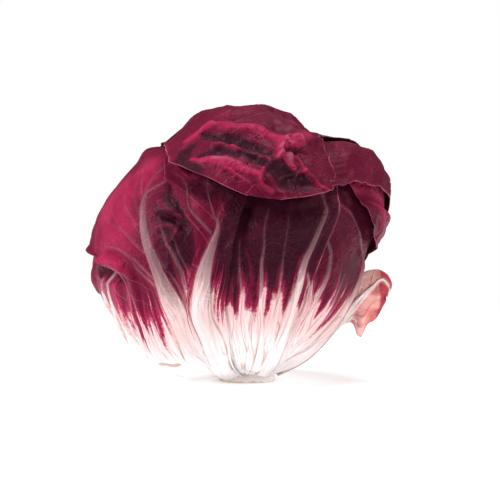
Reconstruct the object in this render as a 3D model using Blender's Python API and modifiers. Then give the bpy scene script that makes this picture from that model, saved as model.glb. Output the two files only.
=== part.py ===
"""A round head of radicchio, the red chicory with white ribs, resting on its cut stem.

The head is a short stem with leaves laid round it one over the next, and a tight bud at the heart.
Directions from the middle of the head place everything: a leaf climbs from the stem along its own
great circle, its rise counted from straight down, and spreads across it to both sides.
A leaf sinks by one layer wherever another leaf lies over it, so no two leaves meet.

Frame: +Z is up, +X is right, -Y is the front. The origin is the middle of the stem's cut face.
"""

import math

import bpy
import numpy as np

# Driving dimensions, in metres.
HEAD_WIDTH = 0.1200
HEAD_DEPTH = 0.1200
HEAD_HEIGHT = 0.1185
CENTRE_OFFSET_X = -0.0030
BUTT_STANDS_PROUD = 0.0005
STEM_RADIUS = 0.0130
STEM_TIP_RADIUS = 0.0045
STEM_LENGTH = 0.0440
STEM_CHAMFER = 0.0008
LEAF_THICKNESS = 0.0010
LEAF_GAP = 0.0013
BASE_CLEARANCE = 0.0006
HEART_CLEARANCE = 0.0015
CURL_LENGTH = 0.0300
CURL_WIDTH = 0.0270
INNER_LEAVES = 9

# How far past its own margin a leaf presses the one beneath it down, and over what the press fades.
PRESS_MARGIN = math.radians(4)
PRESS_FADE = math.radians(16)

# Share of the plain ellipsoid's radius at even steps of rise, from straight down to straight up.
OUTLINE = {
    "front": (0.985, 0.985, 0.990, 1.005, 1.015, 1.010, 1.000, 0.995, 0.985, 0.985, 0.990, 1.000, 1.010),
    "right": (0.985, 1.005, 0.990, 0.945, 0.925, 0.925, 0.945, 1.020, 1.070, 1.080, 1.050, 1.010, 1.010),
    "back": (0.985, 0.985, 0.985, 0.995, 1.000, 1.010, 1.015, 1.015, 1.010, 1.000, 1.000, 1.005, 1.010),
    "left": (0.985, 1.025, 1.085, 1.105, 1.075, 1.090, 1.100, 1.050, 0.990, 0.970, 0.990, 1.005, 1.010),
}

UP = np.array((0.0, 0.0, 1.0))
GOLDEN_ANGLE = 137.5
# Points that stand for a leaf's edge: along each margin, and across each end.
MARGIN_POINTS = 70
END_POINTS = 12


def smooth_step(x):
    """0 below 0, 1 above 1, and an S-shaped ramp between."""
    x = np.clip(x, 0.0, 1.0)
    return x * x * (3 - 2 * x)


def through(stations, values, at):
    """A smooth curve through values at stations: cubic pieces, their slopes set by the points beside."""
    stations = np.asarray(stations, float)
    values = np.asarray(values, float)
    at = np.clip(at, stations[0], stations[-1])
    slopes = np.gradient(values, stations)
    i = np.clip(np.searchsorted(stations, at, side="right") - 1, 0, len(stations) - 2)
    span = stations[i + 1] - stations[i]
    t = (at - stations[i]) / span
    rise_part = (2 * t**3 - 3 * t**2 + 1) * values[i] + (3 * t**2 - 2 * t**3) * values[i + 1]
    slope_part = (t**3 - 2 * t**2 + t) * slopes[i] + (t**3 - t**2) * slopes[i + 1]
    return rise_part + span * slope_part


def compass(azimuth):
    """Outward and sideways directions at an azimuth in degrees, 0 at the front and 90 at the right."""
    turn = math.radians(azimuth)
    outward = np.array((math.sin(turn), -math.cos(turn), 0.0))
    sideways = np.array((math.cos(turn), math.sin(turn), 0.0))
    return outward, sideways


def direction_of(azimuth, rise, across):
    """Unit directions at a rise from straight down on the azimuth's great circle, and an angle across it."""
    outward, sideways = compass(azimuth)
    along = np.sin(rise)[..., None] * outward - np.cos(rise)[..., None] * UP
    return np.cos(across)[..., None] * along + np.sin(across)[..., None] * sideways


def head_radius(direction):
    """Distance from the middle to the head's skin: an ellipsoid, drawn in or let out by four outlines."""
    half_size = np.array((HEAD_WIDTH, HEAD_DEPTH, HEAD_HEIGHT)) / 2
    radius = 1 / np.linalg.norm(direction / half_size, axis=-1)
    rise = np.arccos(np.clip(-direction[..., 2], -1, 1))
    turn = np.arctan2(direction[..., 0], -direction[..., 1])
    steps = np.linspace(0, math.pi, len(OUTLINE["front"]))
    front, right, back, left = (through(steps, shares, rise) for shares in OUTLINE.values())
    share = (front + right + back + left) / 4
    share += (front - back) / 2 * np.cos(turn) + (right - left) / 2 * np.sin(turn)
    share += (front + back - right - left) / 4 * np.cos(2 * turn)
    return radius * share


def height_over_surface():
    """Height of the head's middle that lets the butt stand just proud of the lowest leaf."""
    rise, turn = np.meshgrid(np.radians(np.linspace(0, 60, 61)), np.radians(np.arange(0, 360, 5)))
    level = np.stack((np.sin(rise) * np.sin(turn), -np.sin(rise) * np.cos(turn), -np.cos(rise)), axis=-1)
    return (head_radius(level) * np.cos(rise)).max() + BUTT_STANDS_PROUD


CENTRE_HEIGHT = height_over_surface()
CENTRE = np.array((CENTRE_OFFSET_X, 0.0, CENTRE_HEIGHT))


def stem_radius(height):
    """Radius of the stem's side at a height above its cut face."""
    share = np.clip(height / STEM_LENGTH, 0, 1)
    return STEM_RADIUS + (STEM_TIP_RADIUS - STEM_RADIUS) * share


class Leaf:
    """One leaf: the azimuth it climbs on, and rows of rise, left margin, midrib and right margin.

    flare is how far it stands off in metres, the rise where it does so most, the spread of that in
    degrees, and the margin that is let out (-1 left, 1 right, 0 the whole width).
    sheltered is the least share of a layer that every leaf outside this one sinks it by.
    """

    def __init__(
        self, name, azimuth, rows, finish="leaf_burgundy", flare=None, sheltered=0.0, grid=(10, 14)
    ):
        self.name = name
        self.azimuth = azimuth
        self.rows = np.radians(rows).T
        self.finish = finish
        self.flare = flare
        self.sheltered = sheltered
        self.grid = grid
        self.over = []
        self.spacing = None
        self.start = self.rows[0][0]
        self.reach = self.rows[0][-1]

    def margins(self, rise):
        """Angles across of the left margin, the midrib and the right margin at a rise."""
        return [through(self.rows[0], values, rise) for values in self.rows[1:]]

    def edge(self):
        """Directions of points all round the leaf's edge."""
        rise = np.linspace(self.start, self.reach, MARGIN_POINTS)
        left, _, right = self.margins(rise)
        share = np.linspace(0, 1, END_POINTS)
        rises = [rise, rise, np.full(END_POINTS, rise[0]), np.full(END_POINTS, rise[-1])]
        acrosses = [left, right] + [left[end] + (right[end] - left[end]) * share for end in (0, -1)]
        return direction_of(self.azimuth, np.concatenate(rises), np.concatenate(acrosses))

    def press(self, direction):
        """1 where the leaf lies over a direction, fading to 0 outside its edge."""
        outward, sideways = compass(self.azimuth)
        across = np.arcsin(np.clip(direction @ sideways, -1, 1))
        rise = np.arctan2(direction @ outward, -(direction @ UP))
        rise = (rise + math.pi / 4) % (2 * math.pi) - math.pi / 4
        left, _, right = self.margins(rise)
        under = (across > left) & (across < right) & (rise > self.start) & (rise < self.reach)
        to_edge = np.arccos(np.clip((direction @ self.edge().T).max(axis=-1), -1, 1))
        past = np.where(under, 0, to_edge)
        return 1 - smooth_step((past - PRESS_MARGIN) / PRESS_FADE)

    def depth(self, direction):
        """How far the leaf sinks below the skin of the head under the leaves that lie over it."""
        sunk = np.full(direction.shape[:-1], LEAF_THICKNESS / 2)
        for other in self.over:
            sunk += (LEAF_THICKNESS + LEAF_GAP) * np.maximum(other.press(direction), self.sheltered)
        return sunk

    def lift(self, direction, rise, side):
        """How far a flared leaf stands off the head, only where no other leaf lies over it."""
        if self.flare is None:
            return 0.0
        amount, middle, spread, margin = self.flare
        along = np.exp(-(((np.degrees(rise) - middle) / spread) ** 2))
        toward = smooth_step((side * margin + 0.2) / 1.2) if margin else 1.0
        free = np.prod([1 - other.press(direction) for other in self.over], axis=0)
        return amount * along * toward * free

    def settle(self, over):
        """Lays the leaf under the ones before it, and starts it where it clears the side of the stem."""
        self.over = list(over)
        rise = np.radians(np.linspace(4, 80, 400))
        direction = direction_of(self.azimuth, rise, np.zeros_like(rise))
        place = CENTRE + direction * (head_radius(direction) - self.depth(direction))[:, None]
        needed = stem_radius(place[:, 2]) + BASE_CLEARANCE + LEAF_THICKNESS
        free = np.hypot(place[:, 0], place[:, 1]) > needed
        blocked = np.flatnonzero(~free)
        self.start = rise[blocked[-1] + 1] if len(blocked) else rise[0]
        self.spacing = self.even_steps()

    def even_steps(self):
        """Shares up the leaf and the rises they stand for, spaced so that neither margin takes a long step."""
        rise = np.linspace(self.start, self.reach, 300)
        left, _, right = self.margins(rise)
        steps = np.maximum(np.hypot(np.diff(rise), np.diff(left)), np.hypot(np.diff(rise), np.diff(right)))
        run = np.append(0, np.cumsum(steps))
        return run / run[-1], rise

    def points(self, up, side):
        """Points of the leaf's middle surface at shares up it (0 to 1) and across it (-1 to 1)."""
        rise = np.interp(up, *self.spacing)
        left, middle, right = self.margins(rise)
        across = np.where(side < 0, middle + side * (middle - left), middle + side * (right - middle))
        direction = direction_of(self.azimuth, rise, across)
        radius = head_radius(direction) - self.depth(direction) + self.lift(direction, rise, side)
        return CENTRE + direction * radius[..., None]


class CurledLeaf(Leaf):
    """A short outer leaf that stands off the flank, turns outward at the top and hangs down."""

    def points(self, up, side):
        outward, sideways = compass(self.azimuth)
        climb = np.concatenate(([self.start], np.radians((24, 40, 56, 68))))
        flank = direction_of(self.azimuth, climb, np.zeros(len(climb)))
        off = CURL_LENGTH * np.array((0, 0, 0.02, 0.06, 0.12))
        run = CENTRE + flank * (head_radius(flank) - LEAF_THICKNESS / 2 + off)[:, None]
        out = run @ outward
        high = run @ UP
        out = np.append(out, out[-1] + CURL_LENGTH * np.array((0.12, 0.24, 0.28, 0.22, 0.06)))
        high = np.append(high, high[-1] + CURL_LENGTH * np.array((0.28, 0.32, 0.12, -0.30, -0.66)))
        stations = np.append(0, np.cumsum(np.hypot(np.diff(out), np.diff(high))))
        stations /= stations[-1]
        twist = np.radians(through((0, 0.45, 0.72, 1), (0, -4, -30, -44), up))
        width = CURL_WIDTH / 2 * through((0, 0.3, 0.5, 0.7, 0.86, 1), (0.4, 0.45, 0.6, 1, 0.8, 0.16), up)
        stretch = (side * width)[..., None]
        spine = through(stations, out, up)[..., None] * outward + through(stations, high, up)[..., None] * UP
        spread = np.cos(twist)[..., None] * sideways + np.sin(twist)[..., None] * outward
        return spine + stretch * spread


# Each row of a leaf: rise, left margin, midrib, right margin, in degrees.
CURLED = ((10, -6, 0, 6), (70, -8, 0, 8))
CAP = (
    (10, -8, 0, 8), (60, -35, 0, 35), (100, -52, -2, 48), (140, -54, -6, 46), (175, -48, -12, 38),
    (200, -50, -18, 22), (216, -53, -20, 12), (232, -52, -22, 3), (242, -44, -24, -8), (247, -34, -26, -20),
)
HOOD = (
    (10, -7, 0, 7), (60, -26, 0, 34), (95, -34, -4, 44), (115, -44, -8, 44), (132, -54, -12, 42),
    (150, -60, -18, 40), (176, -63, -26, 26), (190, -60, -30, 8), (204, -50, -36, -22),
)
SHOULDER = (
    (10, -7, 0, 7), (60, -16, 4, 34), (84, -22, 6, 44), (92, -42, 2, 46), (104, -52, -4, 46),
    (128, -51, -6, 44), (150, -40, -4, 32), (164, -16, -2, 12),
)
BACK_LEFT = (
    (10, -8, 0, 8), (40, -28, 0, 26), (70, -44, 2, 36), (105, -50, 2, 40), (135, -42, 0, 42),
    (158, -20, 0, 22),
)
BACK_OUTER = (
    (10, -7, 0, 7), (40, -26, 0, 24), (70, -38, 0, 36), (92, -40, 2, 40), (108, -28, 4, 32),
    (116, -12, 4, 18),
)
WAVY_RIB = (
    (10, -4, 0, 5), (35, -3, 0, 6), (50, -6, -1, 8), (70, -6, -3, 10), (80, -3, 1, 12),
    (92, -1, 4, 14), (100, -3, 6, 15), (107, -8, 4, 16), (117, -14, 0, 18), (128, -22, -2, 18),
    (140, -16, -2, 14), (148, -7, 0, 6),
)
LEFT_FACE = (
    (10, -6, 4, 8), (44, -14, 7, 16), (62, -12, 8, 22), (78, -16, 5, 26), (88, -40, 1, 28),
    (104, -60, -5, 28), (125, -58, 0, 26), (146, -42, 5, 22), (162, -18, 3, 14),
)
FRONT = (
    (10, -6, 3, 7), (38, -22, 3, 10), (54, -32, 4, 10), (66, -36, 6, 13), (79, -38, 9, 12),
    (90, -40, 13, 16), (101, -40, 18, 21), (110, -38, 20, 24), (125, -34, 20, 28), (140, -26, 18, 26),
    (152, -8, 12, 18),
)
LOWER_LEFT = (
    (10, -6, 0, 6), (40, -24, -2, 16), (60, -38, 0, 20), (80, -44, 5, 20), (92, -34, 6, 18),
    (100, -10, 4, 12),
)
RIGHT_FLANK = (
    (10, -7, 0, 7), (34, -20, -4, 18), (50, -27, 3, 28), (65, -29, 14, 38), (76, -29, 19, 43),
    (90, -29, 16, 43), (101, -28, 6, 36), (111, -22, 0, 26), (118, -10, 0, 14),
)
BROAD = (
    (10, -7, 0, 7), (40, -28, 0, 28), (75, -48, 0, 48), (110, -56, 0, 56), (145, -44, 0, 44),
    (168, -18, 0, 18),
)
INNER = (
    (10, -10, 0, 10), (45, -30, 0, 30), (80, -52, 0, 52), (120, -60, 0, 60), (160, -48, 0, 48),
    (185, -20, 0, 20),
)


def leaves():
    """Every leaf from the outermost in, each laid under the ones before it."""
    made = [
        CurledLeaf("curled_leaf", 100, CURLED, finish="leaf_rose", grid=(6, 18)),
        Leaf("back_outer_leaf", 172, BACK_OUTER),
        Leaf("back_left_leaf", -142, BACK_LEFT, grid=(10, 16)),
        Leaf("cap_leaf", 160, CAP, flare=(0.0050, 240, 16, 0), grid=(12, 22)),
        Leaf("hood_leaf", 130, HOOD, flare=(0.0060, 158, 34, -1), grid=(12, 18)),
        Leaf("right_shoulder_leaf", 118, SHOULDER, flare=(0.0040, 108, 18, -1), grid=(10, 18)),
        Leaf("wavy_rib_leaf", -16, WAVY_RIB, grid=(8, 18)),
        Leaf("left_face_leaf", -40, LEFT_FACE, grid=(12, 20)),
        Leaf("front_leaf", 22, FRONT, grid=(12, 16)),
        Leaf("lower_left_leaf", -58, LOWER_LEFT, grid=(12, 16)),
        Leaf("right_flank_leaf", 60, RIGHT_FLANK, grid=(12, 14)),
        Leaf("left_back_leaf", -104, BROAD, grid=(12, 18)),
        Leaf("back_leaf", 176, BROAD),
        Leaf("right_back_leaf", 98, BROAD),
    ]
    for number in range(INNER_LEAVES):
        azimuth = (GOLDEN_ANGLE * number + 20) % 360
        name = f"inner_leaf_{number + 1:02d}"
        made.append(Leaf(name, azimuth, INNER, finish="leaf_pale", sheltered=0.75, grid=(8, 12)))
    for place, leaf in enumerate(made):
        leaf.settle(made[:place])
    return made


# Linear colour and roughness of each finish.
FINISHES = {
    "leaf_burgundy": ((0.105, 0.006, 0.022, 1.0), 0.42),
    "leaf_rose": ((0.62, 0.20, 0.22, 1.0), 0.45),
    "leaf_pale": ((0.36, 0.10, 0.13, 1.0), 0.50),
    "stem_white": ((0.80, 0.70, 0.58, 1.0), 0.60),
}


def finish(name):
    """One plain material for each finish, made once."""
    material = bpy.data.materials.get(name)
    if material is None:
        colour, roughness = FINISHES[name]
        material = bpy.data.materials.new(name)
        material.use_nodes = True
        surface = material.node_tree.nodes["Principled BSDF"]
        surface.inputs["Base Color"].default_value = colour
        surface.inputs["Roughness"].default_value = roughness
        surface.inputs["Metallic"].default_value = 0.0
    return material


def start_scene():
    for old in list(bpy.data.objects):
        bpy.data.objects.remove(old)
    home = bpy.data.collections.new("radicchio_head")
    bpy.context.scene.collection.children.link(home)
    return home


def adopt(obj, name, home, material):
    """Names an object, gives it its finish and moves it to the head's collection."""
    obj.name = name
    obj.data.name = name
    for user in list(obj.users_collection):
        user.objects.unlink(obj)
    home.objects.link(obj)
    obj.data.materials.append(finish(material))
    obj.data.shade_smooth()
    return obj


def build_leaf(leaf, home):
    """A flat grid bent to the leaf's surface, then given its thickness."""
    wide, long = leaf.grid
    bpy.ops.mesh.primitive_grid_add(x_subdivisions=wide, y_subdivisions=long, size=2)
    obj = bpy.context.object
    flat = np.empty(len(obj.data.vertices) * 3)
    obj.data.vertices.foreach_get("co", flat)
    side, up = flat.reshape(-1, 3)[:, :2].T
    obj.data.vertices.foreach_set("co", leaf.points((up + 1) / 2, side).ravel())
    obj.data.update()
    adopt(obj, leaf.name, home, leaf.finish)
    wall = obj.modifiers.new("thickness", "SOLIDIFY")
    wall.thickness = LEAF_THICKNESS
    wall.offset = 0
    return obj


def turned(name, profile, home, material, steps=24):
    """A profile of (radius, height) pairs, run from the top down, turned about the stem's axis."""
    mesh = bpy.data.meshes.new(name)
    mesh.from_pydata([(r, 0, z) for r, z in profile], [(i, i + 1) for i in range(len(profile) - 1)], [])
    obj = bpy.data.objects.new(name, mesh)
    bpy.context.scene.collection.objects.link(obj)
    screw = obj.modifiers.new("turn", "SCREW")
    screw.steps = screw.render_steps = steps
    screw.use_merge_vertices = True
    screw.merge_threshold = 0.00005
    return adopt(obj, name, home, material)


def build_stem(home):
    """The cut butt and the core it becomes inside the head."""
    shoulder = STEM_LENGTH - STEM_TIP_RADIUS
    tip = [
        (STEM_TIP_RADIUS * math.sin(t), shoulder + STEM_TIP_RADIUS * math.cos(t))
        for t in np.radians((0, 25, 50, 75))
    ]
    side = [(float(stem_radius(z)), z) for z in np.linspace(shoulder, STEM_CHAMFER, 5)]
    foot = [(STEM_RADIUS - STEM_CHAMFER, 0), (0, 0)]
    turned("stem", tip + side + foot, home, "stem_white")


def build_heart(home, all_leaves):
    """The tight bud of youngest leaves, seated over the stem's tip inside the innermost leaf."""
    innermost = all_leaves[-1]
    rise = np.radians(np.linspace(20, 178, 60))
    rooms = []
    for azimuth in range(0, 360, 15):
        direction = direction_of(azimuth, rise, np.zeros_like(rise))
        sunk = innermost.depth(direction) + LEAF_THICKNESS + LEAF_GAP
        rooms.append(head_radius(direction) - sunk)
    room = np.min(rooms) - HEART_CLEARANCE
    bottom = max(STEM_LENGTH + HEART_CLEARANCE, CENTRE_HEIGHT - room)
    top = CENTRE_HEIGHT + room
    middle = (top + bottom) / 2
    radius = (top - bottom) / 2
    profile = [
        (radius * math.sin(t), middle + radius * math.cos(t))
        for t in np.linspace(0, math.pi, 15)
    ]
    bud = turned("heart_bud", profile, home, "leaf_pale")
    bud.location.x = CENTRE_OFFSET_X


def main():
    home = start_scene()
    all_leaves = leaves()
    for leaf in all_leaves:
        build_leaf(leaf, home)
    build_stem(home)
    build_heart(home, all_leaves)


main()
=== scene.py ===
"""A head of radicchio, the red chicory with white ribs, standing on its cut stem.

A short stem carries leaves that wrap the head one over the next, round a tight bud.
Lines over the head are given by azimuth, 0 at the front and 90 at the right, and by
rise from straight down, in degrees. Each rib is a path, its half widths and heights in
millimetres, its white, and any groove. Each fold is a path, half widths, heights, its
tone, mostly painted shade in its hollows and painted highlight on its ridges, and any slope.
"""

import math

import bpy
import numpy as np
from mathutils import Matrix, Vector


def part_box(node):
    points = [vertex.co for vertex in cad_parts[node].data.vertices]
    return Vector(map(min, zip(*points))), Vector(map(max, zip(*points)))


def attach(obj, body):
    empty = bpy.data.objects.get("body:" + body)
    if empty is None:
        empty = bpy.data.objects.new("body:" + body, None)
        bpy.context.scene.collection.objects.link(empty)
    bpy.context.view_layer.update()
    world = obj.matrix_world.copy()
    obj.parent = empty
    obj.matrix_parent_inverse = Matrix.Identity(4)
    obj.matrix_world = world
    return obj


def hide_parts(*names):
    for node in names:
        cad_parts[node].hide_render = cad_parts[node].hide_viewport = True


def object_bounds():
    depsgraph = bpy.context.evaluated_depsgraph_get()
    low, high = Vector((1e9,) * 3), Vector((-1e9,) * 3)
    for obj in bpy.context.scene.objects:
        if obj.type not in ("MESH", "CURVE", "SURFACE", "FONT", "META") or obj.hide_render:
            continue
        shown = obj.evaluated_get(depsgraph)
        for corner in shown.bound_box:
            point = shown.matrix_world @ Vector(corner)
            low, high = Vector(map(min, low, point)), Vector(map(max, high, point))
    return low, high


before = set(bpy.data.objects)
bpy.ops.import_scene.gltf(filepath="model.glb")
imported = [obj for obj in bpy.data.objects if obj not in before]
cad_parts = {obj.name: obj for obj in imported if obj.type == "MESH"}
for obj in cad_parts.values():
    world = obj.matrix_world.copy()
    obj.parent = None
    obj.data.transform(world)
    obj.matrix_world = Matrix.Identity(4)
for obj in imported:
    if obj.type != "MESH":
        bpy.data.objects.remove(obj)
cad_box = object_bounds()


# The stem: a stubby white cone cut square across, which carries every leaf.
# Its cut face has dried to a pale brown skin with darker rings of vessels.
STEM_LOW, STEM_HIGH = (np.array(corner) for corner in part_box("stem"))
STEM_RADIUS = (STEM_HIGH[0] - STEM_LOW[0]) / 2
STEM_LENGTH = STEM_HIGH[2] - STEM_LOW[2]
STEM_TIP_RADIUS = 0.35 * STEM_RADIUS
STEM_EDGE = 0.0008
STEM_SIDES = 96
MILLIMETRE = 0.001


def smooth_step(x):
    """0 below 0, 1 above 1, and an S-shaped ramp between."""
    x = np.clip(x, 0.0, 1.0)
    return x * x * (3 - 2 * x)


def corner_value(corner, seed):
    """A random number from -1 to 1 for every corner of a lattice: its whole numbers, mixed."""
    x, y, z = np.moveaxis(corner.astype(np.int64), -1, 0)
    mixed = (x * 374761393 + y * 668265263 + z * 1274126177 + seed * 974634777) & 0xFFFFFFFF
    mixed = ((mixed ^ (mixed >> 13)) * 1274126177) & 0xFFFFFFFF
    mixed = mixed ^ (mixed >> 16)
    return (mixed & 0xFFFFFF) / 0x7FFFFF - 1.0


def lumps(place, size, seed=0):
    """Smooth lumps from -1 to 1: random values at the corners of cubes of a size, blended by S-ramps."""
    scaled = place / size + 1000.0
    corner = np.floor(scaled)
    share = scaled - corner
    share = share * share * (3 - 2 * share)
    total = 0.0
    for step in np.ndindex(2, 2, 2):
        weight = np.prod(np.where(np.array(step) == 1, share, 1 - share), axis=-1)
        total = total + weight * corner_value(corner + np.array(step), seed)
    return total


def closed_turn(name, rings, low, high):
    """A mesh of rings of points, joined in turn, with a middle point that closes each end."""
    count, around = rings.shape[:2]
    index = np.arange(count * around).reshape(count, around)
    after = np.roll(index, -1, axis=1)
    walls = np.stack((index[:-1], after[:-1], after[1:], index[1:]), axis=-1).reshape(-1, 4)
    foot = np.stack((after[0], index[0], np.full(around, index.size)), axis=-1)
    top = np.stack((index[-1], after[-1], np.full(around, index.size + 1)), axis=-1)
    points = np.concatenate((rings.reshape(-1, 3), [low, high]))
    mesh = bpy.data.meshes.new(name)
    mesh.from_pydata(points.tolist(), [], walls.tolist() + foot.tolist() + top.tolist())
    return mesh


def hold(mesh, marks, copies=1):
    """Keeps marks on a mesh's points, a number or a vector each, the same on each copy of the points."""
    for name, values in marks.items():
        kind, part = ("FLOAT_VECTOR", "vector") if values.shape[-1] == 3 else ("FLOAT", "value")
        held = mesh.attributes.new(name, kind, "POINT")
        held.data.foreach_set(part, np.tile(values.ravel(), copies).astype(np.float32))


def add_piece(mesh, material, node):
    """Puts a mesh in the scene as the piece that stands for a node of the frame."""
    mesh.shade_smooth()
    mesh.materials.append(material)
    piece = bpy.data.objects.new(mesh.name, mesh)
    bpy.context.scene.collection.objects.link(piece)
    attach(piece, "root")
    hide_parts(node)


class Wire:
    """A socket of a finish's nodes that can be written into sums like a number."""

    def __init__(self, finish, socket):
        self.finish, self.socket = finish, socket

    def _sum(self, operation, *values):
        return self.finish.node("ShaderNodeMath", {"operation": operation}, dict(enumerate(values)))

    def __add__(self, other):
        return self._sum("ADD", self, other)

    def __radd__(self, other):
        return self._sum("ADD", other, self)

    def __sub__(self, other):
        return self._sum("SUBTRACT", self, other)

    def __rsub__(self, other):
        return self._sum("SUBTRACT", other, self)

    def __mul__(self, other):
        return self._sum("MULTIPLY", self, other)

    def __rmul__(self, other):
        return self._sum("MULTIPLY", other, self)

    def __abs__(self):
        return self._sum("ABSOLUTE", self)

    def most(self, other):
        return self._sum("MAXIMUM", self, other)

    def fraction(self):
        return self._sum("FRACT", self)

    def ramp(self, low, high):
        """0 at low, 1 at high, and an S-shaped ramp between. high may be the lower one."""
        span = {"From Min": low, "From Max": high}
        if low > high:
            span = {"From Min": high, "From Max": low, "To Min": 1.0, "To Max": 0.0}
        settings = {"interpolation_type": "SMOOTHSTEP"}
        return self.finish.node("ShaderNodeMapRange", settings, {"Value": self, **span})


class Finish:
    """A material with one shader, and the nodes that vary it over the surface."""

    def __init__(self, name, **shader):
        self.material = bpy.data.materials.new(name)
        self.material.use_nodes = True
        self.tree = self.material.node_tree
        self.surface = self.tree.nodes["Principled BSDF"]
        self.show(**shader)

    def node(self, kind, settings=None, sockets=None, out=0):
        """Adds a node, its settings first and then its sockets' values or links, and gives an output."""
        made = self.tree.nodes.new(kind)
        for name, value in (settings or {}).items():
            setattr(made, name, value)
        for name, value in (sockets or {}).items():
            self.feed(made.inputs[name], value)
        return Wire(self, made.outputs[out])

    def feed(self, socket, value):
        """Links a wire to a socket, or sets the socket to a number, a vector or a red, green and blue."""
        if isinstance(value, Wire):
            self.tree.links.new(value.socket, socket)
        elif socket.type == "RGBA":
            socket.default_value = (*value, 1)
        else:
            socket.default_value = value

    def show(self, **sockets):
        """Feeds the shader's own sockets."""
        for name, value in sockets.items():
            self.feed(self.surface.inputs[name.replace("_", " ")], value)

    def place(self):
        return self.node("ShaderNodeTexCoord", out="Object")

    def mark(self, name, out="Fac"):
        """A value, or with out="Vector" a vector, that the piece's mesh holds at each point."""
        return self.node("ShaderNodeAttribute", {"attribute_name": name}, out=out)

    def part(self, vector, axis):
        return self.node("ShaderNodeSeparateXYZ", sockets={0: vector}, out=axis)

    def stretch(self, vector, x, y, z=0):
        settings = {"operation": "MULTIPLY"}
        return self.node("ShaderNodeVectorMath", settings, {0: vector, 1: (x, y, z)})

    def noise(self, vector, scale, detail=2.0, roughness=0.5, out=0):
        sockets = {"Vector": vector, "Scale": scale, "Detail": detail, "Roughness": roughness}
        return self.node("ShaderNodeTexNoise", sockets=sockets, out=out)

    def coats(self, colour, *coats):
        """A colour with others laid over it in turn, each given as its share, 0 to 1, and itself."""
        for share, coat in coats:
            colour = self.node("ShaderNodeMix", {"data_type": "RGBA"}, {0: share, 6: colour, 7: coat}, 2)
        return colour

    def bump(self, height, distance, strength=1.0, **onto):
        sockets = {"Height": height, "Distance": distance, "Strength": strength, **onto}
        return self.node("ShaderNodeBump", sockets=sockets)


def stem_finish():
    """Cream flesh, browned toward the cut face, with rings of vessels in it."""
    finish = Finish("stem_flesh", Roughness=0.6, Subsurface_Weight=0.1, Subsurface_Scale=0.004)
    place = finish.place()
    blotches = finish.noise(place, 260.0, 4.0)
    rings = {"wave_type": "RINGS", "rings_direction": "Z"}
    sockets = {"Vector": place, "Scale": 110.0, "Distortion": 6.0}
    vessels = finish.node("ShaderNodeTexWave", rings, sockets, out="Fac")
    dried = finish.part(place, 2) + (blotches - 0.5) * 0.004
    colour = finish.coats(
        (0.66, 0.50, 0.36),
        (vessels.ramp(0.4, 0.9) * 0.5, (0.50, 0.33, 0.22)),
        (blotches.ramp(0.45, 0.7) * 0.6, (0.42, 0.22, 0.17)),
        (dried.ramp(0.0, 0.0012), (0.93, 0.84, 0.82)),
    )
    finish.show(Base_Color=colour, Normal=finish.bump(blotches + vessels * 0.4, 0.0006))
    return finish.material


def stem_surface(run, turn):
    """A cone's side over run 0 to 1 and a turn: radius falls from butt to tip, and fine ribs ripple it."""
    height = STEM_EDGE + run * (STEM_LENGTH - STEM_EDGE)
    radius = STEM_RADIUS + run * (STEM_TIP_RADIUS - STEM_RADIUS)
    radius = radius * (1 - 0.012 * (1 + np.cos(turn * 9 + 2 * run)))
    return np.stack((radius * np.cos(turn), radius * np.sin(turn), height), axis=-1)


def build_stem():
    around = np.linspace(0, 2 * math.pi, STEM_SIDES, endpoint=False)
    run, turn = np.meshgrid(np.linspace(0, 1, 30), around, indexing="ij")
    side = stem_surface(run, turn)
    shares = np.array((0.15, 0.35, 0.55, 0.75, 0.92, 1.0))[:, None, None]
    cut = side[:1] * (shares * np.array((0.955, 0.955, 0)))
    cut[..., 2] = 0.25 * MILLIMETRE * (1 + lumps(cut, 0.004, 3)) * (shares[..., 0] < 0.95)
    domed = np.array((0.8, 0.5, 0.2))[:, None, None]
    tip = side[-1:] * (domed * np.array((1, 1, 0)))
    tip[..., 2] = STEM_LENGTH + STEM_TIP_RADIUS * 0.3 * (1 - domed[..., 0] ** 2)
    tip[..., 2] = np.minimum(tip[..., 2], STEM_HIGH[2] + 0.001)
    rings = np.concatenate((cut, side, tip))
    mesh = closed_turn("cut_stem", rings, (0, 0, 0.0002), (0, 0, tip[-1, 0, 2]))
    add_piece(mesh, stem_finish(), "stem")


build_stem()

# The curled leaf: a small torn outer leaf at the lower right. It leaves the
# base with the others, turns outward on its own white rib and hangs down.
UP = np.array((0.0, 0.0, 1.0))
HEAD_LOW, HEAD_HIGH = (np.array(corner) for corner in cad_box)
HEART_LOW, HEART_HIGH = (np.array(corner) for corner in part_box("heart_bud"))
HALF_SIZE = np.array((0.496, 0.496, 0.498)) * (HEAD_HIGH - HEAD_LOW)[[1, 1, 2]]
CENTRE = np.array(((HEART_LOW[0] + HEART_HIGH[0]) / 2, 0.0, 0.4995 * HEAD_HIGH[2]))
HEAD_RADIUS = HALF_SIZE.mean()
RADIUS_MM = HEAD_RADIUS / MILLIMETRE

# Share of the plain ellipsoid's radius at even steps of rise, from straight down to straight up.
OUTLINE = {
    "front": (0.985, 0.985, 0.990, 1.005, 1.015, 1.010, 1.000, 0.995, 0.985, 0.985, 0.990, 1.000, 1.010),
    "right": (0.985, 1.005, 0.990, 0.945, 0.925, 0.925, 0.945, 1.020, 1.070, 1.080, 1.050, 1.010, 1.010),
    "back": (0.985, 0.985, 0.985, 0.995, 1.000, 1.010, 1.015, 1.015, 1.010, 1.000, 1.000, 1.005, 1.010),
    "left": (0.985, 1.025, 1.085, 1.105, 1.075, 1.090, 1.100, 1.050, 0.990, 0.970, 0.990, 1.005, 1.010),
}
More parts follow.
